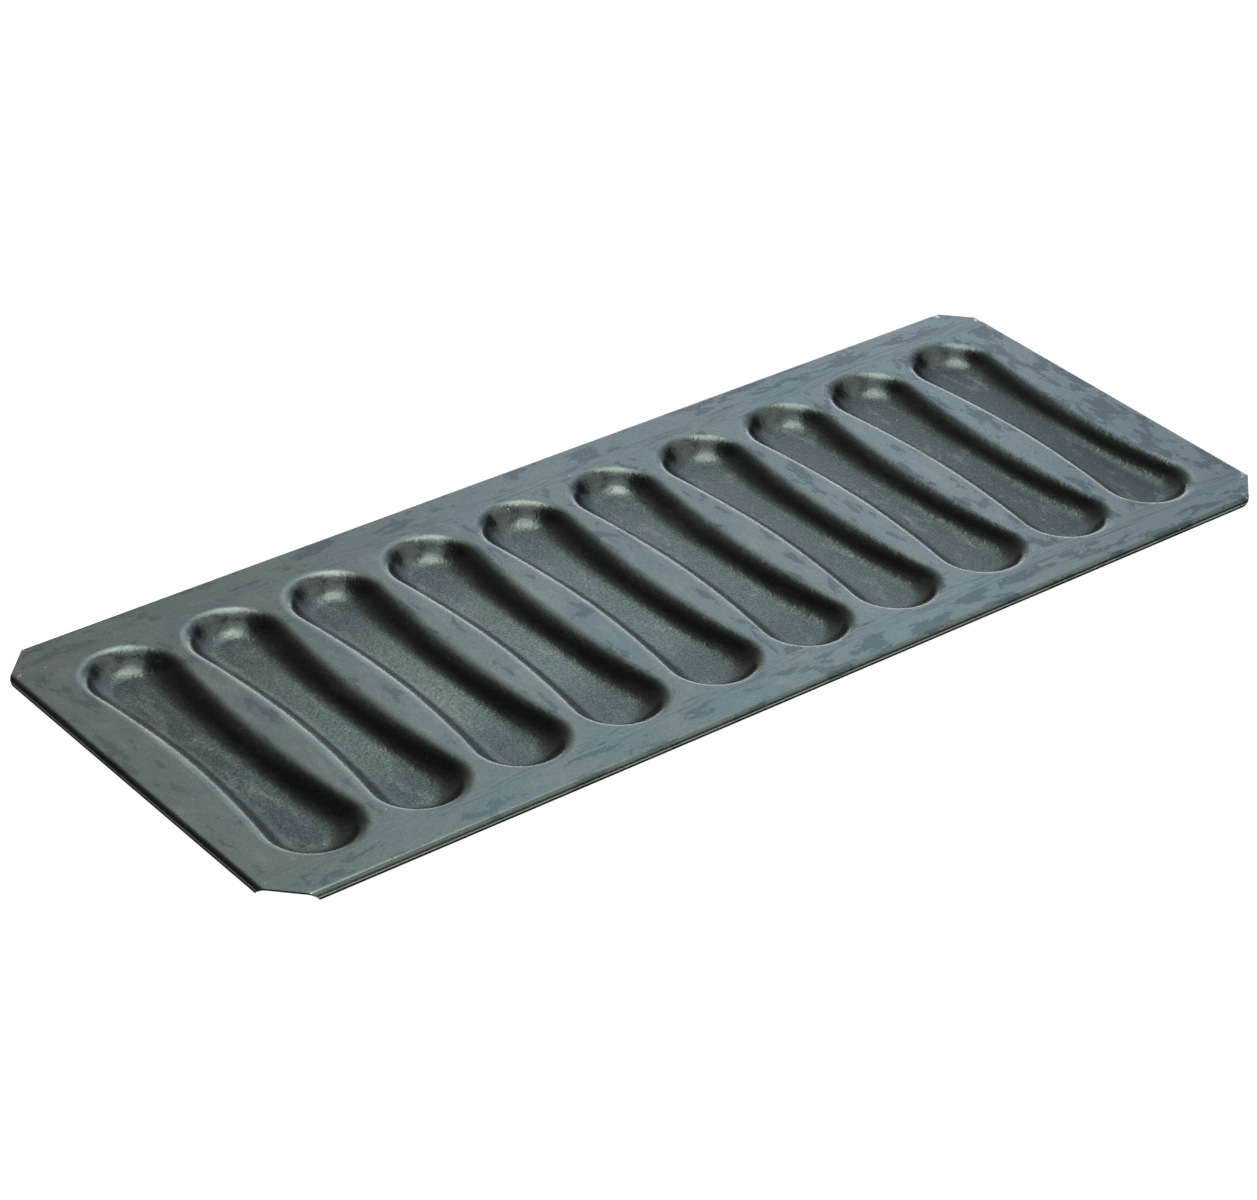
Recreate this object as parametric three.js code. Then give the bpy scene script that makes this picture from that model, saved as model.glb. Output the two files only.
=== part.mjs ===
// Langue de chat pan: one thin steel sheet pressed into a row of finger-shaped moulds. Its four
// sides are rolled under, each round a straight stiffening wire, and its corners are clipped.
// Millimetres, +Z up. The origin is the centre of the pan on the surface it stands on, +X runs
// along the row of moulds and +Y along each mould.
import * as THREE from "three";
import { mergeVertices } from "three/addons/utils/BufferGeometryUtils.js";

// Sheet and rolled rim
const sheetThickness = 0.5;
const wireDiameter = 1.6;
const wireClearance = 0.1; // between a wire and the sheet rolled round it
const tuckGap = 0.2; // between the rolled edge of the sheet and the underside of the flat face
const cornerClip = 6.5; // leg of a clipped corner, on the flat face
const wireSetback = 2.5; // from the clipped corner to the end of a wire

// Finger moulds, measured at the mouth, where the flat face starts to bend
const mouldCount = 10;
const mouthLength = 99.4;
const mouthEndWidth = 27.2;
const mouthWaistWidth = 22.5;
const endDepth = 4.7;
const waistDepth = 4.1;
const waistReach = 28; // from the middle of a mould to where its full depth starts
const endLipRadius = 4.2; // upper face of the bend into the mould
const waistLipRadius = 6;
const endFloorRadius = 7.6; // upper face of the bend from the wall to the floor
const waistFloorRadius = 5;
const wallAngle = THREE.MathUtils.degToRad(50); // steepest part of the wall, from the horizontal

// Flat face left round the moulds
const webWidth = 1.9; // between the widest places of two neighbouring mouths
const endBorder = 9.05; // from the outermost mouths to the bend of the rim
const frontBorder = 8.1; // from the near ends of the mouths to the bend of the rim
const backBorder = 9.7; // from the far ends of the mouths to the bend of the rim

// Facets
const endSteps = 10; // round one end of a mould
const flankSteps = 6; // along one flank of a mould
const lipSteps = 3;
const floorSteps = 3;
const rollSteps = 12;
const wireSides = 12;

// Sizes that follow from the ones above
const wireRadius = wireDiameter / 2;
const rollRadius = wireRadius + wireClearance + sheetThickness; // outside of the rolled rim
const rollAngle = 2 * Math.PI - Math.acos(1 - (sheetThickness + tuckGap) / rollRadius);
const mouldPitch = mouthEndWidth + webWidth;
const flatHalfLength = ((mouldCount - 1) * mouldPitch + mouthEndWidth) / 2 + endBorder;
const flatHalfWidth = (frontBorder + mouthLength + backBorder) / 2;
const rowOffset = (frontBorder - backBorder) / 2; // of the moulds, from the middle of the pan
const topHeight = endDepth + sheetThickness;

// The wall is a lip bend, a straight stretch and a floor bend, which the depth may limit
function wallSection(mouth, depth, lipRadius, floorRadius) {
  const bendDrop = 1 - Math.cos(wallAngle);
  const floorBend = Math.min(floorRadius, depth / bendDrop - lipRadius);
  const straight = (depth - (lipRadius + floorBend) * bendDrop) / Math.sin(wallAngle);
  const run = (lipRadius + floorBend) * Math.sin(wallAngle) + straight * Math.cos(wallAngle);
  return { mouth, depth, lipRadius, floorBend, run };
}

const waist = wallSection(mouthWaistWidth / 2, waistDepth, waistLipRadius, waistFloorRadius);
const roundEnd = wallSection(mouthEndWidth / 2, endDepth, endLipRadius, endFloorRadius);
const endCentre = mouthLength / 2 - roundEnd.mouth;

// Points of an arc, without its last one
function arc(x, y, radius, from, to, steps) {
  return Array.from({ length: steps }, (_, i) => {
    const angle = from + ((to - from) * i) / steps;
    return new THREE.Vector2(x + radius * Math.cos(angle), y + radius * Math.sin(angle));
  });
}

// Outline of a mould, anticlockwise: two round ends and two long hollow flanks that touch them smoothly
function mouldOutline(x, waistHalf, endRadius) {
  const flank = (endCentre ** 2 + waistHalf ** 2 - endRadius ** 2) / (2 * (endRadius - waistHalf));
  const flankCentre = waistHalf + flank;
  const turn = Math.atan(endCentre / flankCentre);
  return [
    ...arc(x, rowOffset + endCentre, endRadius, -turn, Math.PI + turn, endSteps),
    ...arc(x - flankCentre, rowOffset, flank, turn, -turn, flankSteps),
    ...arc(x, rowOffset - endCentre, endRadius, Math.PI - turn, 2 * Math.PI + turn, endSteps),
    ...arc(x + flankCentre, rowOffset, flank, Math.PI + turn, Math.PI - turn, flankSteps),
  ];
}

// Half width and depth of each step down a section of the wall, on the face "below" the top face
function wallProfile(section, below) {
  const steps = [];
  for (let i = 0; i <= lipSteps; i++) {
    const angle = (wallAngle * i) / lipSteps;
    const radius = section.lipRadius - below;
    const depth = section.lipRadius - radius * Math.cos(angle);
    steps.push({ half: section.mouth - radius * Math.sin(angle), depth });
  }
  for (let i = floorSteps; i >= 0; i--) {
    const angle = (wallAngle * i) / floorSteps;
    const radius = section.floorBend + below;
    const depth = section.depth - section.floorBend + radius * Math.cos(angle);
    steps.push({ half: section.mouth - section.run + radius * Math.sin(angle), depth });
  }
  return steps;
}

// Rings of one mould, from its mouth to its floor. Each is a little higher at the waist than at the ends.
function mouldRings(x, below) {
  const endProfile = wallProfile(roundEnd, below);
  return wallProfile(waist, below).map((waistStep, i) =>
    mouldOutline(x, waistStep.half, endProfile[i].half).map((p) => {
      const share = THREE.MathUtils.smoothstep(Math.abs(p.y - rowOffset), 0, waistReach);
      const depth = THREE.MathUtils.lerp(waistStep.depth, endProfile[i].depth, share);
      return new THREE.Vector3(p.x, p.y, topHeight - depth);
    }),
  );
}

// The four sides of the pan: the way along each side, the way out, and the half lengths of the flat face
const sides = [
  { name: "front", along: [1, 0], out: [0, -1], half: flatHalfLength, reach: flatHalfWidth },
  { name: "right", along: [0, 1], out: [1, 0], half: flatHalfWidth, reach: flatHalfLength },
  { name: "back", along: [-1, 0], out: [0, 1], half: flatHalfLength, reach: flatHalfWidth },
  { name: "left", along: [0, -1], out: [-1, 0], half: flatHalfWidth, reach: flatHalfLength },
];

// A point beside one of the pan's sides
function sidePoint(side, along, out, depth) {
  const x = side.along[0] * along + side.out[0] * out;
  const y = side.along[1] * along + side.out[1] * out;
  return new THREE.Vector3(x, y, topHeight - depth);
}

// Rows of the rolled rim of one side, from the flat face to the tucked edge. The corner of the
// sheet is clipped before it is rolled, so each row is shorter by the sheet already rolled in.
function rollRows(side, below) {
  const radius = rollRadius - below;
  const middle = rollRadius - sheetThickness / 2;
  return Array.from({ length: rollSteps + 1 }, (_, i) => {
    const angle = (rollAngle * i) / rollSteps;
    const end = side.half - cornerClip - middle * angle;
    const out = side.reach + radius * Math.sin(angle);
    const depth = rollRadius - radius * Math.cos(angle);
    return [sidePoint(side, -end, out, depth), sidePoint(side, end, out, depth)];
  });
}

// Triangles between two rows of points that run the same way
function bridge(rowA, rowB, closed) {
  const triangles = [];
  const count = closed ? rowA.length : rowA.length - 1;
  for (let i = 0; i < count; i++) {
    const j = (i + 1) % rowA.length;
    triangles.push([rowA[i], rowA[j], rowB[j]], [rowA[i], rowB[j], rowB[i]]);
  }
  return triangles.filter(([a, b, c]) => !a.equals(b) && !b.equals(c) && !c.equals(a));
}

// Triangles of a flat region with holes, facing up
function flatRegion(contour, holes, height) {
  const points = [contour, ...holes].flat().map((p) => new THREE.Vector3(p.x, p.y, height));
  return THREE.ShapeUtils.triangulateShape(contour, holes).map(([a, b, c]) => {
    const [p, q, r] = [points[a], points[b], points[c]];
    const turn = (q.x - p.x) * (r.y - p.y) - (q.y - p.y) * (r.x - p.x);
    return turn > 0 ? [p, q, r] : [p, r, q];
  });
}

// A mould's floor, in strips from its left side to its right side
function mouldFloor(ring) {
  const tip = endSteps / 2;
  const left = ring.slice(tip, tip + ring.length / 2 + 1);
  const right = left.map((_, i) => ring[(tip - i + ring.length) % ring.length]);
  return bridge(left, right, false);
}

// One mould's wall and floor, as seen from above
function mouldSkin(x, below) {
  const rings = mouldRings(x, below);
  const walls = rings.slice(1).flatMap((ring, i) => bridge(rings[i], ring, true));
  return [...walls, ...mouldFloor(rings[rings.length - 1])];
}

// The whole face of the sheet that lies "below" under the top face, as seen from above
function sheetSkin(below) {
  const places = Array.from({ length: mouldCount }, (_, i) => (i - (mouldCount - 1) / 2) * mouldPitch);
  const corners = sides.flatMap((side) => rollRows(side, below)[0]);
  const contour = corners.map((p) => new THREE.Vector2(p.x, p.y));
  const mouths = places.map((x) => mouldOutline(x, waist.mouth, roundEnd.mouth));
  const rolls = sides.flatMap((side) => {
    const rows = rollRows(side, below);
    return rows.slice(1).flatMap((row, i) => bridge(row, rows[i], false));
  });
  return [
    ...flatRegion(contour, mouths, topHeight - below),
    ...places.flatMap((x) => mouldSkin(x, below)),
    ...rolls,
  ];
}

// The cut edge of the sheet, right round the pan: down one end of a roll, along its tucked edge,
// up its other end and across the clipped corner to the next side
function sheetEdge(below) {
  return sides.flatMap((side) => {
    const rows = rollRows(side, below);
    return [...rows.map((row) => row[0]), ...rows.map((row) => row[1]).reverse()];
  });
}

function panSheet() {
  const top = sheetSkin(0);
  const underside = sheetSkin(sheetThickness).map(([a, b, c]) => [a, c, b]);
  const edge = bridge(sheetEdge(sheetThickness), sheetEdge(0), true);
  const geometry = new THREE.BufferGeometry().setFromPoints([...top, ...underside, ...edge].flat());
  const merged = mergeVertices(geometry);
  merged.computeVertexNormals();
  return merged;
}

// A straight wire in the middle of the roll of one side
function rimWire(side) {
  const length = 2 * (side.half - cornerClip - wireSetback);
  const geometry = new THREE.CylinderGeometry(wireRadius, wireRadius, length, wireSides);
  const wire = new THREE.Mesh(geometry, wireSteel);
  wire.name = `${side.name}_rim_wire`;
  wire.position.copy(sidePoint(side, 0, side.reach, rollRadius));
  if (side.along[0] !== 0) wire.rotation.z = Math.PI / 2;
  return wire;
}

// Blued sheet steel with a satin oxide skin, and plain drawn steel wire
const bluedSteel = new THREE.MeshStandardMaterial({ color: 0x4a5257, roughness: 0.4, metalness: 0.85 });
const wireSteel = new THREE.MeshStandardMaterial({ color: 0x6b6a67, roughness: 0.5, metalness: 0.9 });

const sheet = new THREE.Mesh(panSheet(), bluedSteel);
sheet.name = "pan_sheet";

const pan = new THREE.Group();
pan.name = "langue_de_chat_pan";
pan.add(sheet, ...sides.map(rimWire));

export default pan;
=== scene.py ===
# Langue de chat pan: one thin blued steel sheet pressed into a row of ten finger moulds, its four sides
# rolled under round straight wires. Metres, +Z up, +X along the row of moulds, +Y along each mould.
import math
import bmesh
import bpy
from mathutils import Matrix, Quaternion, Vector


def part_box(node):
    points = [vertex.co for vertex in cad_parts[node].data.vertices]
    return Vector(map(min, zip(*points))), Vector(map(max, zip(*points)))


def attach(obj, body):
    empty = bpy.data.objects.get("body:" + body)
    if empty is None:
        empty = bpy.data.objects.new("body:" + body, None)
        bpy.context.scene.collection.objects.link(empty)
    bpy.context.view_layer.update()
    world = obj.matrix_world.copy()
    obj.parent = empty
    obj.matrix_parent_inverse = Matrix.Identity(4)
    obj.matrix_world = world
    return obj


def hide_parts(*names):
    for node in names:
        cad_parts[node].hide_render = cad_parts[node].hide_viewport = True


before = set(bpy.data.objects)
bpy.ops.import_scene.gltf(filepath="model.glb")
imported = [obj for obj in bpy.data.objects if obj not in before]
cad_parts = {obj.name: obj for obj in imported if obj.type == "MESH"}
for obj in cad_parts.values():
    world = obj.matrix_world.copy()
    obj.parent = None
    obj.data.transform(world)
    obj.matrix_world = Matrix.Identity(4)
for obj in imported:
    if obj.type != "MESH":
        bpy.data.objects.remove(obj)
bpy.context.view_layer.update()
bpy.ops.object.select_all(action="DESELECT")

# Pan sheet
# One blank of thin sheet steel, clipped at its corners, pressed cold between dies into ten finger moulds
# and rolled under along its four sides. Heat blueing leaves a thin blue-black oxide skin all over it.
mm = 0.001
sheet_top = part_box("pan_sheet")[1]
sheet_thickness = 0.5 * mm
roll_radius = 1.4 * mm
roll_angle = 300
roll_steps = 24
corner_clip = 6.5 * mm
flat_margin = 0.3 * mm  # strip of the flat face beside each mouth and each roll
fold_x = sheet_top.x - roll_radius
fold_y = sheet_top.y - roll_radius

mould_count = 10
mould_pitch = 29.1 * mm
mould_row_y = -0.8 * mm
end_centre = 36.1 * mm
waist_reach = 28 * mm
wall_slope = math.radians(50)

# The wall of a mould, from the flat face in, is a lip bend, a straight stretch and a floor bend
waist = {"mouth": 11.25 * mm, "depth": 4.1 * mm, "lip": 6.0 * mm, "floor": 5.0 * mm}
end_depth = sheet_top.z - sheet_thickness
round_end = {"mouth": 13.6 * mm, "depth": end_depth, "lip": 4.2 * mm, "floor": 7.6 * mm}

# Facets, and the distances within which points are taken as one or as level
flank_steps = 8
end_steps = 40
lip_rings = 9
floor_rings = 14
lip_share = 0.35
floor_insets = 5
floor_inset = 0.45 * mm
start_size = 0.1 * mm
merge_distance = 0.01 * mm
tiny = 0.001 * mm


def half_width(section, share):
    """Half the width of a mould at a share of its depth, on one of its sections."""
    depth = share * section["depth"]
    bend_drop = 1 - math.cos(wall_slope)
    lip_depth = section["lip"] * bend_drop
    floor_depth = section["depth"] - section["floor"] * bend_drop
    if depth < lip_depth:
        return section["mouth"] - section["lip"] * math.sin(math.acos(1 - depth / section["lip"]))
    straight = (min(depth, floor_depth) - lip_depth) / math.tan(wall_slope)
    wall = section["mouth"] - section["lip"] * math.sin(wall_slope) - straight
    if depth < floor_depth:
        return wall
    tilt = math.acos(1 - (section["depth"] - depth) / section["floor"])
    return wall - section["floor"] * (math.sin(wall_slope) - math.sin(tilt))


def turn(angle, steps, centre, axis):
    """Sweeps what is selected round an axis, anticlockwise in degrees."""
    bpy.ops.mesh.spin(steps=steps, angle=-math.radians(angle), center=centre, axis=axis)


def select_only(obj, wanted):
    """Selects the vertices of a mesh in edit mode that pass a test on their place, and what they bound."""
    mesh = bmesh.from_edit_mesh(obj.data)
    for vertex in mesh.verts:
        vertex.select_set(False)
    mesh.select_flush(False)
    for vertex in mesh.verts:
        vertex.select_set(wanted(vertex.co))
    mesh.select_flush(True)
    bmesh.update_edit_mesh(obj.data)


def draw_contour(half_waist, end_radius, height):
    """Draws one contour line of a mould: two round ends joined by two long hollow flanks."""
    flank_radius = (end_centre**2 + half_waist**2 - end_radius**2) / (2 * (end_radius - half_waist))
    flank_x = half_waist + flank_radius
    flank_angle = math.degrees(math.atan2(end_centre, flank_x))
    bpy.ops.mesh.select_all(action="DESELECT")
    bpy.ops.mesh.primitive_plane_add(size=start_size, location=(half_waist, mould_row_y, height))
    bpy.ops.mesh.merge(type="CENTER")
    for angle, steps, x, y in (
        (-flank_angle, flank_steps, flank_x, 0),
        (180 + 2 * flank_angle, end_steps, 0, end_centre),
        (-2 * flank_angle, 2 * flank_steps, -flank_x, 0),
        (180 + 2 * flank_angle, end_steps, 0, -end_centre),
        (-flank_angle, flank_steps, flank_x, 0),
    ):
        turn(angle, steps, (x, mould_row_y + y, height), (0, 0, 1))


# One mould is drawn in contour lines from its floor up to the flat face, and copied along the row
shares = [
    lip_share + (1 - lip_share) * math.sin(math.pi / 2 * i / floor_rings) for i in range(floor_rings, 0, -1)
]
shares += [lip_share * (i / lip_rings) ** 2 for i in range(lip_rings, -1, -1)]

bpy.ops.mesh.primitive_plane_add(size=start_size)
sheet = bpy.context.object
sheet.name = "pressed_sheet"
bpy.ops.object.mode_set(mode="EDIT")
bpy.ops.mesh.delete(type="VERT")
for level, share in enumerate(shares):
    height = sheet_top.z - share * round_end["depth"]
    draw_contour(half_width(waist, share), half_width(round_end, share), height)
    select_only(sheet, lambda co: abs(co.z - height) < tiny)
    bpy.ops.mesh.remove_doubles(threshold=merge_distance)
    if level:
        below = sheet_top.z - shares[level - 1] * round_end["depth"]
        select_only(sheet, lambda co: min(abs(co.z - height), abs(co.z - below)) < tiny)
        bpy.ops.mesh.bridge_edge_loops()
draw_contour(waist["mouth"] + flat_margin, round_end["mouth"] + flat_margin, sheet_top.z + flat_margin)
select_only(sheet, lambda co: co.z > sheet_top.z + tiny)
bpy.ops.mesh.remove_doubles(threshold=merge_distance)
select_only(sheet, lambda co: co.z > sheet_top.z - tiny)
bpy.ops.mesh.bridge_edge_loops()
bpy.ops.transform.resize(value=(1, 1, 0), center_override=(0, 0, sheet_top.z))
select_only(sheet, lambda co: co.z < sheet_top.z - round_end["depth"] + tiny)
bpy.ops.mesh.edge_face_add()
for _ in range(floor_insets):
    bpy.ops.mesh.inset(thickness=floor_inset)

bpy.ops.mesh.select_all(action="SELECT")
bpy.ops.transform.translate(value=(-mould_pitch * (mould_count - 1) / 2, 0, 0))
for _ in range(mould_count - 1):
    bpy.ops.mesh.duplicate_move(TRANSFORM_OT_translate={"value": (mould_pitch, 0, 0)})

# The flat face runs from the mouths to the bends of the rims, with its corners clipped
bpy.ops.mesh.select_all(action="DESELECT")
bpy.ops.mesh.primitive_plane_add(size=2, location=(0, 0, sheet_top.z))
bpy.ops.transform.resize(
    value=(fold_x - flat_margin, fold_y - flat_margin, 1), center_override=(0, 0, sheet_top.z)
)
bpy.ops.mesh.bevel(offset=corner_clip - 2 * flat_margin, affect="VERTICES", segments=1)
bpy.ops.mesh.delete(type="ONLY_FACE")
bpy.ops.mesh.select_all(action="DESELECT")
mesh = bmesh.from_edit_mesh(sheet.data)
for edge in mesh.edges:
    edge.select_set(edge.verts[0].co.z > sheet_top.z - tiny and len(edge.link_faces) < 2)
bmesh.update_edit_mesh(sheet.data)
bpy.ops.mesh.fill(use_beauty=True)

# The floor rises a little from the ends to the waist
waist_row = 0.5 * mm
select_only(sheet, lambda co: abs(co.y - mould_row_y) < waist_row)
bpy.ops.transform.resize(
    value=(1, 1, waist["depth"] / round_end["depth"]),
    center_override=(0, mould_row_y, sheet_top.z),
    use_proportional_edit=True,
    proportional_edit_falloff="SMOOTH",
    proportional_size=waist_reach,
)

# Each side is rolled under, and its ends draw back by the length of sheet already rolled in
roll_middle = roll_radius - sheet_thickness / 2
for out, along, half, reach in (
    (Vector((0, -1, 0)), Vector((1, 0, 0)), fold_x, fold_y),
    (Vector((1, 0, 0)), Vector((0, 1, 0)), fold_y, fold_x),
    (Vector((0, 1, 0)), Vector((-1, 0, 0)), fold_x, fold_y),
    (Vector((-1, 0, 0)), Vector((0, -1, 0)), fold_y, fold_x),
):
    edge_line = reach - flat_margin
    top_edge = sheet_top.z - merge_distance
    select_only(sheet, lambda co: abs(co.dot(out) - edge_line) < merge_distance and co.z > top_edge)
    bpy.ops.mesh.extrude_region_move(TRANSFORM_OT_translate={"value": out * flat_margin})
    roll_centre = out * reach + Vector((0, 0, sheet_top.z - roll_radius))
    length = half - corner_clip + flat_margin
    rolled = 0
    for step in range(roll_steps + 1):
        if step:
            turn(roll_angle / roll_steps, 1, roll_centre, along)
            rolled = roll_middle * math.radians(roll_angle * step / roll_steps)
        shorter = half - corner_clip - rolled
        share = shorter / length
        bpy.ops.transform.resize(value=(share, 1, 1) if along.x else (1, share, 1), center_override=(0, 0, 0))
        length = shorter

bpy.ops.mesh.select_all(action="SELECT")
bpy.ops.mesh.remove_doubles(threshold=merge_distance)
bpy.ops.mesh.normals_make_consistent(inside=False)
mesh = bmesh.from_edit_mesh(sheet.data)
if sum(face.normal.z * face.calc_area() for face in mesh.faces) < 0:
    bpy.ops.mesh.flip_normals()
bpy.ops.object.mode_set(mode="OBJECT")

solidify = sheet.modifiers.new("sheet_thickness", "SOLIDIFY")
solidify.thickness = sheet_thickness
solidify.offset = -1
solidify.use_even_offset = True
solidify.material_offset_rim = 1
bpy.ops.object.modifier_apply(modifier=solidify.name)
bpy.ops.object.shade_smooth_by_angle(angle=math.radians(40))


def linear(hex_colour):
    """A colour given as sRGB hex, in linear light."""
    channels = [int(hex_colour[i : i + 2], 16) / 255 for i in (1, 3, 5)]
    return [c / 12.92 if c <= 0.04045 else ((c + 0.055) / 1.055) ** 2.4 for c in channels] + [1]


def add_node(material, kind, inputs, **settings):
    """Adds a node with its settings. An input is a value, or an output to link from. The sockets of a Mix or
    Math node share their names, so they go by number."""
    node = material.node_tree.nodes.new(kind)
    for name, value in settings.items():
        setattr(node, name, value)
    for socket, value in inputs.items():
        if isinstance(value, bpy.types.NodeSocket):
            material.node_tree.links.new(value, node.inputs[socket])
        else:
            node.inputs[socket].default_value = value
    return node


def new_material(name):
    """An empty material and its output node."""
    material = bpy.data.materials.new(name)
    material.use_nodes = True
    material.node_tree.nodes.clear()
    return material, material.node_tree.nodes.new("ShaderNodeOutputMaterial")


# Heat-blued cold-rolled steel. The oxide is a smooth blue-grey satin on the flat face, with darker flakes
# along the borders, and is darker and grainy in the moulds, where pressing has stretched it.
blued_steel, blued_output = new_material("heat_blued_steel")
coordinates = add_node(blued_steel, "ShaderNodeTexCoord", {}).outputs
place = coordinates["Object"]
axes = add_node(blued_steel, "ShaderNodeSeparateXYZ", {"Vector": place}).outputs
facing = add_node(blued_steel, "ShaderNodeSeparateXYZ", {"Vector": coordinates["Normal"]}).outputs
mirrored = add_node(blued_steel, "ShaderNodeVectorMath", {0: place}, operation="ABSOLUTE").outputs["Vector"]
from_middle = add_node(blued_steel, "ShaderNodeSeparateXYZ", {"Vector": mirrored}).outputs

# 1 on the walls and floors of the moulds, 0 on the flat face and the rolled sides
row_half_length = 147 * mm
row_half_width = 52 * mm
below_lip = add_node(
    blued_steel,
    "ShaderNodeMapRange",
    {"Value": axes["Z"], "From Min": sheet_top.z - 0.05 * mm, "From Max": sheet_top.z - 0.6 * mm},
    interpolation_type="SMOOTHSTEP",
).outputs["Result"]
in_length = add_node(
    blued_steel, "ShaderNodeMath", {0: from_middle["X"], 1: row_half_length}, operation="LESS_THAN"
).outputs[0]
in_width = add_node(
    blued_steel, "ShaderNodeMath", {0: from_middle["Y"], 1: row_half_width}, operation="LESS_THAN"
).outputs[0]
in_row = add_node(blued_steel, "ShaderNodeMath", {0: in_length, 1: in_width}, operation="MULTIPLY").outputs[0]
hollow = add_node(blued_steel, "ShaderNodeMath", {0: below_lip, 1: in_row}, operation="MULTIPLY").outputs[0]

# Tone of the oxide: it drifts over a few centimetres, is bluer on the right, and darker in the outer
# moulds and at the ends of each mould
drift_size = 30 * mm
to_right = add_node(
    blued_steel, "ShaderNodeMapRange", {"Value": axes["X"], "From Min": -160 * mm, "From Max": 160 * mm}
).outputs["Result"]
even_tone = add_node(
    blued_steel, "ShaderNodeMix", {0: to_right, 6: linear("#566466"), 7: linear("#54656f")}, data_type="RGBA"
).outputs[2]
drift = add_node(
    blued_steel, "ShaderNodeTexNoise", {"Vector": place, "Scale": 1 / drift_size, "Detail": 3.0}
).outputs["Fac"]
drift_share = add_node(
    blued_steel, "ShaderNodeMapRange", {"Value": drift, "From Min": 0.35, "From Max": 0.65, "To Max": 0.5}
).outputs["Result"]
flat_tone = add_node(
    blued_steel, "ShaderNodeMix", {0: drift_share, 6: even_tone, 7: linear("#606b6b")}, data_type="RGBA"
).outputs[2]
left_moulds = add_node(
    blued_steel, "ShaderNodeMapRange", {"Value": axes["X"], "From Min": -85 * mm, "From Max": -150 * mm}
).outputs["Result"]
right_moulds = add_node(
    blued_steel, "ShaderNodeMapRange", {"Value": axes["X"], "From Min": -70 * mm, "From Max": 125 * mm}
).outputs["Result"]
mould_ends = add_node(
    blued_steel,
    "ShaderNodeMapRange",
    {"Value": from_middle["Y"], "From Min": 10 * mm, "From Max": 34 * mm, "To Max": 0.65},
    interpolation_type="SMOOTHSTEP",
).outputs["Result"]
outer_moulds = add_node(
    blued_steel, "ShaderNodeMath", {0: left_moulds, 1: right_moulds}, operation="MAXIMUM"
).outputs[0]
darker = add_node(
    blued_steel, "ShaderNodeMath", {0: outer_moulds, 1: mould_ends}, operation="MAXIMUM"
).outputs[0]
floor_tone = add_node(
    blued_steel, "ShaderNodeMix", {0: darker, 6: linear("#566566"), 7: linear("#323e43")}, data_type="RGBA"
).outputs[2]
steep = add_node(
    blued_steel, "ShaderNodeMapRange", {"Value": facing["Z"], "From Min": 0.998, "From Max": 0.87}
).outputs["Result"]
mould_tone = add_node(
    blued_steel, "ShaderNodeMix", {0: steep, 6: floor_tone, 7: linear("#485359")}, data_type="RGBA"
).outputs[2]
plain_oxide = add_node(
    blued_steel, "ShaderNodeMix", {0: hollow, 6: flat_tone, 7: mould_tone}, data_type="RGBA"
).outputs[2]

# Flakes: islands of darker oxide up to a centimetre long, drawn out along the nearest side. There are more
# of them on the borders and to the right. Pale wisps lie between them.
flake_size = 5 * mm
border_x = add_node(
    blued_steel,
    "ShaderNodeMapRange",
    {"Value": from_middle["X"], "From Min": 138 * mm, "From Max": row_half_length},
).outputs["Result"]
border_y = add_node(
    blued_steel,
    "ShaderNodeMapRange",
    {"Value": from_middle["Y"], "From Min": 47 * mm, "From Max": row_half_width},
).outputs["Result"]
border = add_node(blued_steel, "ShaderNodeMath", {0: border_x, 1: border_y}, operation="MAXIMUM").outputs[0]
along_mould = add_node(
    blued_steel, "ShaderNodeMapping", {"Vector": place, "Scale": (1, 0.4, 1)}
).outputs["Vector"]
along_side = add_node(
    blued_steel, "ShaderNodeMapping", {"Vector": place, "Scale": (0.4, 1, 1)}
).outputs["Vector"]
rubbed = add_node(
    blued_steel, "ShaderNodeMix", {0: border_y, 4: along_mould, 5: along_side}, data_type="VECTOR"
).outputs[1]
flake_noise = add_node(
    blued_steel,
    "ShaderNodeTexNoise",
    {"Vector": rubbed, "Scale": 1 / flake_size, "Detail": 10.0, "Roughness": 0.68, "Distortion": 0.4},
).outputs["Fac"]
flake_bias = add_node(
    blued_steel, "ShaderNodeMath", {0: border, 1: 0.03, 2: flake_noise}, operation="MULTIPLY_ADD"
).outputs[0]
flake_field = add_node(
    blued_steel, "ShaderNodeMath", {0: to_right, 1: 0.05, 2: flake_bias}, operation="MULTIPLY_ADD"
).outputs[0]
flakes = add_node(
    blued_steel, "ShaderNodeMapRange", {"Value": flake_field, "From Min": 0.59, "From Max": 0.6}
).outputs["Result"]
flake_depth = add_node(
    blued_steel, "ShaderNodeMapRange", {"Value": to_right, "To Min": 0.5, "To Max": 0.85}
).outputs["Result"]
land_depth = add_node(
    blued_steel, "ShaderNodeMapRange", {"Value": hollow, "To Min": flake_depth, "To Max": 0.0}
).outputs["Result"]
flake_share = add_node(
    blued_steel, "ShaderNodeMath", {0: flakes, 1: land_depth}, operation="MULTIPLY"
).outputs[0]
flaked_oxide = add_node(
    blued_steel, "ShaderNodeMix", {0: flake_share, 6: plain_oxide, 7: linear("#3a4953")}, data_type="RGBA"
).outputs[2]
wisps = add_node(
    blued_steel,
    "ShaderNodeMapRange",
    {"Value": flake_field, "From Min": 0.5, "From Max": 0.36, "To Max": 0.45},
).outputs["Result"]
wispy_oxide = add_node(
    blued_steel, "ShaderNodeMix", {0: wisps, 6: flaked_oxide, 7: linear("#6c7778")}, data_type="RGBA"
).outputs[2]

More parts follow.
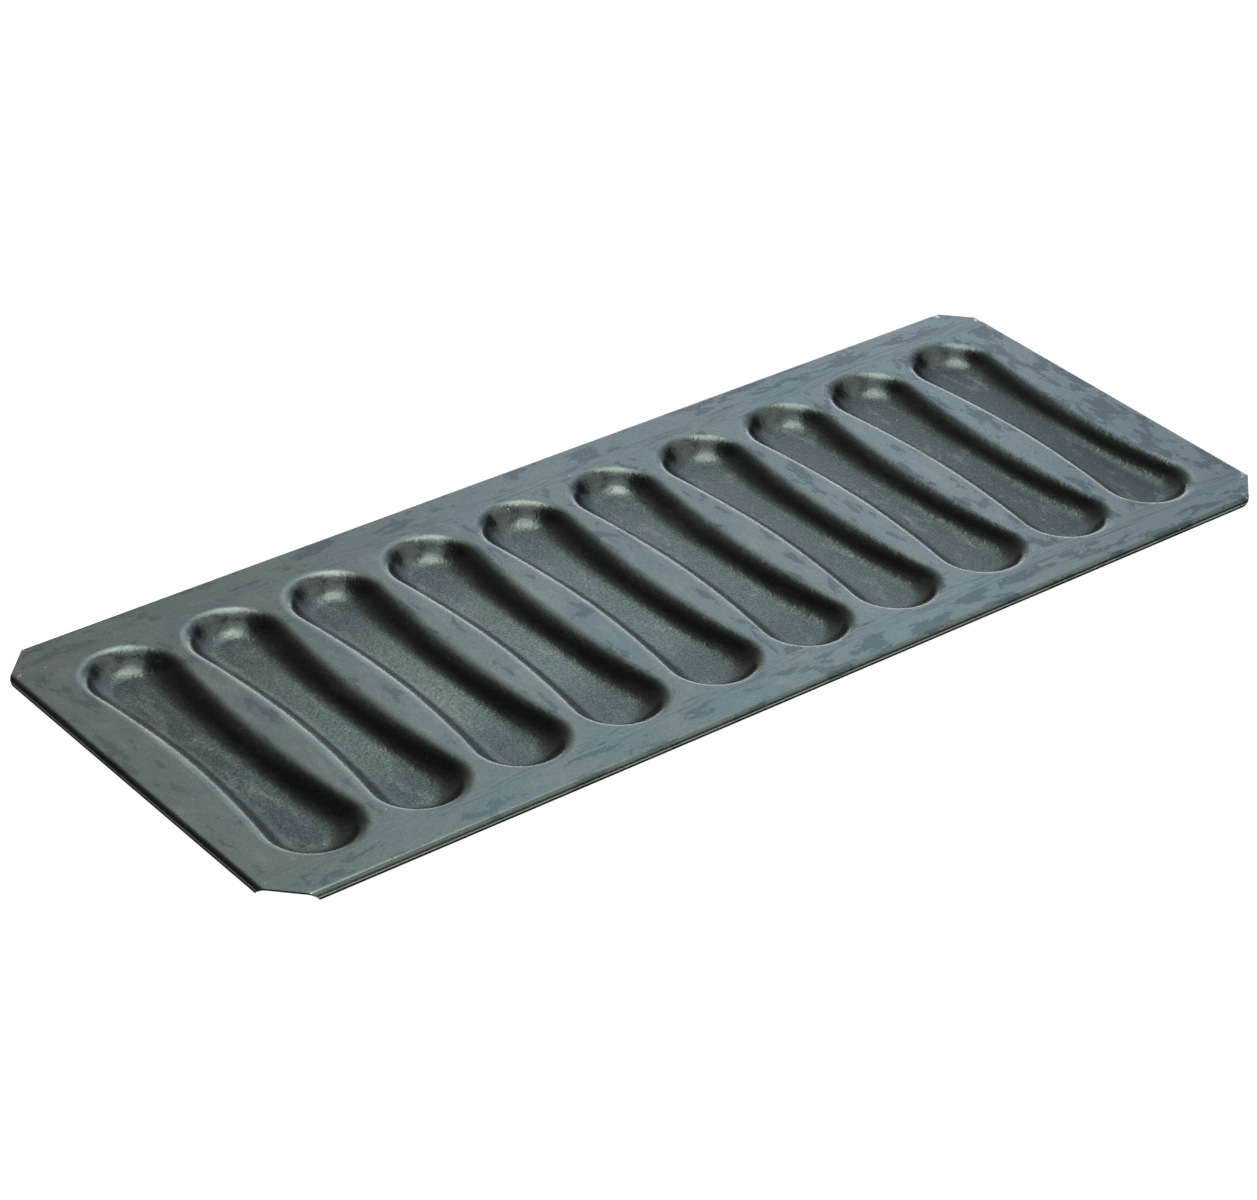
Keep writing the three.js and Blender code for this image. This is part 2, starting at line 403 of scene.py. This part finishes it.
# Grain of the stretched oxide, strongest on the mould floors, drawn coarser than it is so that it shows
grain_size = 0.6 * mm
grain = add_node(
    blued_steel,
    "ShaderNodeTexNoise",
    {"Vector": place, "Scale": 1 / grain_size, "Detail": 4.0, "Roughness": 0.75},
).outputs["Fac"]
grain_tone = add_node(
    blued_steel,
    "ShaderNodeMapRange",
    {"Value": grain, "From Min": 0.38, "From Max": 0.7, "To Min": 0.3, "To Max": 2.1},
).outputs["Result"]
flat_floor = add_node(
    blued_steel, "ShaderNodeMapRange", {"Value": steep, "To Min": hollow, "To Max": 0.0}
).outputs["Result"]
grain_share = add_node(
    blued_steel, "ShaderNodeMapRange", {"Value": flat_floor, "To Min": 0.15, "To Max": 0.56}
).outputs["Result"]
grainy_oxide = add_node(
    blued_steel,
    "ShaderNodeMix",
    {0: grain_share, 6: wispy_oxide, 7: grain_tone},
    data_type="RGBA",
    blend_type="MULTIPLY",
).outputs[2]

# Painted glints: small bright specks up to 0.3 mm across, in a few cells of a random pattern, painted in the
# colour of bare steel. Their radius is a share of a cell.
speck_cell = 7 * mm
speck_cells = add_node(
    blued_steel, "ShaderNodeTexVoronoi", {"Vector": place, "Scale": 1 / speck_cell}
).outputs
speck_chance = add_node(
    blued_steel, "ShaderNodeSeparateColor", {"Color": speck_cells["Color"]}
).outputs["Red"]
speck_radius = add_node(
    blued_steel,
    "ShaderNodeMapRange",
    {"Value": speck_chance, "From Min": 0.96, "From Max": 1.0, "To Max": 0.022},
).outputs["Result"]
painted_glints = add_node(
    blued_steel, "ShaderNodeMath", {0: speck_cells["Distance"], 1: speck_radius}, operation="LESS_THAN"
).outputs[0]

# Wear to bare metal at the ends of the rolled sides, beside the clipped corners
wear_size = 1.5 * mm
wear_setback = 1.4 * mm
long_end = (fold_x - corner_clip - wear_setback, fold_y, sheet_top.z)
short_end = (fold_x, fold_y - corner_clip - wear_setback, sheet_top.z)
wear_noise = add_node(
    blued_steel,
    "ShaderNodeTexNoise",
    {"Vector": place, "Scale": 1 / wear_size, "Detail": 4.0, "Roughness": 0.7, "Distortion": 0.6},
).outputs["Fac"]
to_long_end = add_node(
    blued_steel, "ShaderNodeVectorMath", {0: mirrored, 1: long_end}, operation="DISTANCE"
).outputs["Value"]
to_short_end = add_node(
    blued_steel, "ShaderNodeVectorMath", {0: mirrored, 1: short_end}, operation="DISTANCE"
).outputs["Value"]
to_end = add_node(
    blued_steel, "ShaderNodeMath", {0: to_long_end, 1: to_short_end}, operation="MINIMUM"
).outputs[0]
wear_chance = add_node(
    blued_steel,
    "ShaderNodeMapRange",
    {"Value": to_end, "From Min": 3 * mm, "From Max": 0.3 * mm, "To Max": 0.2},
).outputs["Result"]
wear_field = add_node(
    blued_steel, "ShaderNodeMath", {0: wear_noise, 1: wear_chance}, operation="ADD"
).outputs[0]
wear = add_node(
    blued_steel, "ShaderNodeMapRange", {"Value": wear_field, "From Min": 0.7, "From Max": 0.74}
).outputs["Result"]
# The worn ends and the painted glints both take the colour of bare steel
wear_and_painted_glints = add_node(blued_steel, "ShaderNodeMath", {0: wear, 1: painted_glints}, operation="MAXIMUM").outputs[0]
surface = add_node(
    blued_steel, "ShaderNodeMix", {0: wear_and_painted_glints, 6: grainy_oxide, 7: linear("#969ea1")}, data_type="RGBA"
).outputs[2]

# Gloss is cloudy on the flat face, and grainy and a little duller in the moulds
cloud_size = 6 * mm
cloud = add_node(
    blued_steel,
    "ShaderNodeTexNoise",
    {"Vector": place, "Scale": 1 / cloud_size, "Detail": 4.0, "Roughness": 0.6},
).outputs["Fac"]
satin = add_node(
    blued_steel, "ShaderNodeMapRange", {"Value": cloud, "To Min": 0.22, "To Max": 0.32}
).outputs["Result"]
dull = add_node(
    blued_steel, "ShaderNodeMapRange", {"Value": grain, "To Min": 0.22, "To Max": 0.34}
).outputs["Result"]
gloss = add_node(blued_steel, "ShaderNodeMix", {0: hollow, 2: satin, 3: dull}, data_type="FLOAT").outputs[0]

# Relief: orange peel about two millimetres wide, faint on the flat face, and the grain of the mould floors
peel_size = 1.8 * mm
peel = add_node(
    blued_steel,
    "ShaderNodeTexNoise",
    {"Vector": place, "Scale": 1 / peel_size, "Detail": 3.0, "Distortion": 0.5},
).outputs["Fac"]
peel_share = add_node(
    blued_steel, "ShaderNodeMapRange", {"Value": hollow, "To Min": 0.12, "To Max": 1.0}
).outputs["Result"]
peel_relief = add_node(
    blued_steel, "ShaderNodeBump", {"Strength": peel_share, "Distance": 0.12 * mm, "Height": peel}
).outputs["Normal"]
grain_relief = add_node(
    blued_steel,
    "ShaderNodeBump",
    {"Strength": flat_floor, "Distance": 0.03 * mm, "Height": grain, "Normal": peel_relief},
).outputs["Normal"]
blued_shader = add_node(
    blued_steel,
    "ShaderNodeBsdfPrincipled",
    {"Base Color": surface, "Metallic": 1.0, "Roughness": gloss, "Normal": grain_relief},
).outputs["BSDF"]
blued_steel.node_tree.links.new(blued_shader, blued_output.inputs["Surface"])
sheet.data.materials.append(blued_steel)

# Sheared edge: bare steel where the blank was cut, with fine upright lines that run from bright to torn
cut_edge, cut_output = new_material("sheared_steel_edge")
shear_line_size = 0.5 * mm
edge_place = add_node(cut_edge, "ShaderNodeTexCoord", {}).outputs["Object"]
upright = add_node(
    cut_edge, "ShaderNodeMapping", {"Vector": edge_place, "Scale": (1, 1, 0.1)}
).outputs["Vector"]
shear_lines = add_node(
    cut_edge, "ShaderNodeTexNoise", {"Vector": upright, "Scale": 1 / shear_line_size, "Detail": 3.0}
).outputs["Fac"]
bare_steel = add_node(
    cut_edge, "ShaderNodeMix", {0: shear_lines, 6: linear("#6f7070"), 7: linear("#c2bfba")}, data_type="RGBA"
).outputs[2]
torn = add_node(
    cut_edge, "ShaderNodeMapRange", {"Value": shear_lines, "To Min": 0.35, "To Max": 0.6}
).outputs["Result"]
tear_relief = add_node(
    cut_edge, "ShaderNodeBump", {"Distance": 0.03 * mm, "Height": shear_lines}
).outputs["Normal"]
cut_shader = add_node(
    cut_edge,
    "ShaderNodeBsdfPrincipled",
    {"Base Color": bare_steel, "Metallic": 1.0, "Roughness": torn, "Normal": tear_relief},
).outputs["BSDF"]
cut_edge.node_tree.links.new(cut_shader, cut_output.inputs["Surface"])
sheet.data.materials.append(cut_edge)

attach(sheet, "root")
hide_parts("pan_sheet")

# Rim wires
# A straight drawn steel wire lies in each rolled side and keeps the thin sheet from bending. The roll is
# closed round it, so only its cut ends show, just inside the ends of the roll.
wire_sides = 32
wire_bevel = 0.15 * mm

# Drawn steel wire: half bright, with a fine uneven grey and a few brown specks of old rust
wire_steel, wire_output = new_material("drawn_steel_wire")
mottle_size = 0.7 * mm
rust_size = 4 * mm
wire_place = add_node(wire_steel, "ShaderNodeTexCoord", {}).outputs["Object"]
mottle = add_node(
    wire_steel, "ShaderNodeTexNoise", {"Vector": wire_place, "Scale": 1 / mottle_size, "Detail": 3.0}
).outputs["Fac"]
rust_noise = add_node(
    wire_steel, "ShaderNodeTexNoise", {"Vector": wire_place, "Scale": 1 / rust_size, "Detail": 5.0}
).outputs["Fac"]
rust = add_node(
    wire_steel, "ShaderNodeMapRange", {"Value": rust_noise, "From Min": 0.58, "From Max": 0.66}
).outputs["Result"]
grey = add_node(
    wire_steel, "ShaderNodeMix", {0: mottle, 6: linear("#545452"), 7: linear("#85837f")}, data_type="RGBA"
).outputs[2]
wire_colour = add_node(
    wire_steel, "ShaderNodeMix", {0: rust, 6: grey, 7: linear("#5a4232")}, data_type="RGBA"
).outputs[2]
wire_gloss = add_node(
    wire_steel, "ShaderNodeMapRange", {"Value": rust, "To Min": 0.38, "To Max": 0.75}
).outputs["Result"]
wire_relief = add_node(
    wire_steel, "ShaderNodeBump", {"Distance": 0.01 * mm, "Height": mottle}
).outputs["Normal"]
wire_shader = add_node(
    wire_steel,
    "ShaderNodeBsdfPrincipled",
    {"Base Color": wire_colour, "Metallic": 1.0, "Roughness": wire_gloss, "Normal": wire_relief},
).outputs["BSDF"]
wire_steel.node_tree.links.new(wire_shader, wire_output.inputs["Surface"])
for node in ("front_rim_wire", "right_rim_wire", "back_rim_wire", "left_rim_wire"):
    low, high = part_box(node)
    size = high - low
    along_x = size.x > size.y
    bpy.ops.object.select_all(action="DESELECT")
    bpy.ops.mesh.primitive_cylinder_add(
        vertices=wire_sides,
        radius=size.z / 2,
        depth=max(size),
        location=(low + high) / 2,
        rotation=(0, math.pi / 2, 0) if along_x else (math.pi / 2, 0, 0),
    )
    wire = bpy.context.object
    wire.name = node.replace("rim_wire", "drawn_wire")
    bpy.ops.object.transform_apply(location=True, rotation=True)
    bpy.ops.object.mode_set(mode="EDIT")
    bpy.ops.mesh.select_all(action="SELECT")
    mesh = bmesh.from_edit_mesh(wire.data)
    for edge in mesh.edges:
        edge.select_set(len(edge.link_faces[0].verts) != len(edge.link_faces[1].verts))
    bmesh.update_edit_mesh(wire.data)
    bpy.ops.mesh.bevel(offset=wire_bevel, segments=2)
    bpy.ops.object.mode_set(mode="OBJECT")
    bpy.ops.object.shade_smooth_by_angle(angle=math.radians(50))
    wire.data.materials.append(wire_steel)
    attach(wire, "root")
    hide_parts(node)

# Studio floor
# A white table lit from below through its top, so that the pan throws almost no shadow on it. It lies a
# little under the pan.
bpy.ops.object.select_all(action="DESELECT")
bpy.ops.mesh.primitive_plane_add(size=8, location=(0, 0, -0.1 * mm))
floor = bpy.context.object
floor.name = "studio_floor"
floor.visible_glossy = False
table_top, table_output = new_material("lit_white_table")
board = add_node(table_top, "ShaderNodeBsdfDiffuse", {"Color": linear("#ffffff")}).outputs["BSDF"]
glow = add_node(
    table_top, "ShaderNodeEmission", {"Color": linear("#ffffff"), "Strength": 1.12}
).outputs["Emission"]
lit_board = add_node(table_top, "ShaderNodeMixShader", {0: 0.9, 1: board, 2: glow}).outputs["Shader"]
table_top.node_tree.links.new(lit_board, table_output.inputs["Surface"])
floor.data.materials.append(table_top)

# Studio light
# White panels stand in a row behind the pan, fade out to both sides and have a bright foot at the table. A
# warm dish with a halo hangs overhead, with warm panels on the camera's side and the right, and low white
# panels stand in front and on the left. Angles are in degrees, and sizes and distances in metres.
warm_white = "#fff3d8"
screens = [
    ("backdrop_foot", "RECTANGLE", 46, 5, 1.6, 1.04, 0.25, 2.2, "#ffffff"),
    ("overhead_dish", "ELLIPSE", 48.5, 79, 1.5, 0.75, 1.0, 4.5, "#fff4d9"),
    ("overhead_halo", "ELLIPSE", 48.5, 79, 1.6, 1.2, 1.55, 1.6, "#fff4d9"),
    ("ceiling_panel", "RECTANGLE", -131.5, 65, 1.6, 1.1, 1.1, 1.6, "#fff3e1"),
]
for heading in range(-75, -29, 15):
    screens.append(("right_panel", "RECTANGLE", heading, 41, 1.5, 0.4, 1.06, 0.92, warm_white))
for heading in (-15, 0):
    screens.append(("high_panel", "RECTANGLE", heading, 50, 1.5, 0.4, 0.6, 0.92, warm_white))
for heading in range(-180, -83, 24):
    screens.append(("low_panel", "RECTANGLE", heading, 15, 1.5, 0.64, 0.65, 0.8, "#ffffff"))
for heading in range(12, 133, 12):
    fade = math.exp(min(0, (48 - heading) / 25, (heading - 40) / 30))
    tint = "#ffffff" if heading < 70 else "#fff0d6"
    screens.append(("back_panel", "RECTANGLE", heading, 29, 1.5, 0.33, 1.66, 1.33 * fade, tint))
for name, shape, heading, rise, distance, width, tall, radiance, colour in screens:
    level_reach = math.cos(math.radians(rise))
    toward = Vector(
        (
            level_reach * math.cos(math.radians(heading)),
            level_reach * math.sin(math.radians(heading)),
            math.sin(math.radians(rise)),
        )
    )
    bpy.ops.object.light_add(type="AREA", location=toward * distance)
    light = bpy.context.object
    light.name = name
    light.rotation_euler = toward.to_track_quat("Z", "Y").to_euler()
    light.data.shape = shape
    light.data.size = width
    light.data.size_y = tall
    area = width * tall * (math.pi / 4 if shape == "ELLIPSE" else 1)
    light.data.energy = radiance * math.pi * area
    light.data.color = linear(colour)[:3]
    light.visible_camera = False

# Strips of the lit table top along the front and the left, which show in the lower halves of the rolls
for name, strip_place, width, tall, radiance in (
    ("front_table_glow", (0, -0.0725, 0), 0.5, 0.015, 2.6),
    ("left_table_glow", (-0.1675, 0, 0), 0.015, 0.2, 0.8),
):
    bpy.ops.object.light_add(type="AREA", location=strip_place, rotation=(math.pi, 0, 0))
    light = bpy.context.object
    light.name = name
    light.data.shape = "RECTANGLE"
    light.data.size = width
    light.data.size_y = tall
    light.data.energy = radiance * math.pi * width * tall
    light.data.color = linear("#fff0d0")[:3]
    light.visible_camera = False

world = bpy.data.worlds.new("dim_room")
world.use_nodes = True
world.node_tree.nodes["Background"].inputs["Color"].default_value = linear("#ffffff")
world.node_tree.nodes["Background"].inputs["Strength"].default_value = 0.03
bpy.context.scene.world = world
bpy.context.scene.view_settings.view_transform = "Standard"

# Camera
# Above the front left corner of the pan, with a long lens and a slight roll.
camera_place = Vector((-558.7, -644.2, 535.7)) * mm
camera_aim = Vector((-15.3, -6.23, 5.2)) * mm
camera_roll = math.radians(2.872)
bpy.ops.object.camera_add(location=camera_place)
camera = bpy.context.object
level_turn = (camera_aim - camera_place).to_track_quat("-Z", "Y")
camera.rotation_euler = (level_turn @ Quaternion((0, 0, 1), camera_roll)).to_euler()
camera.data.sensor_width = 36
camera.data.lens = 116.885
bpy.context.scene.camera = camera
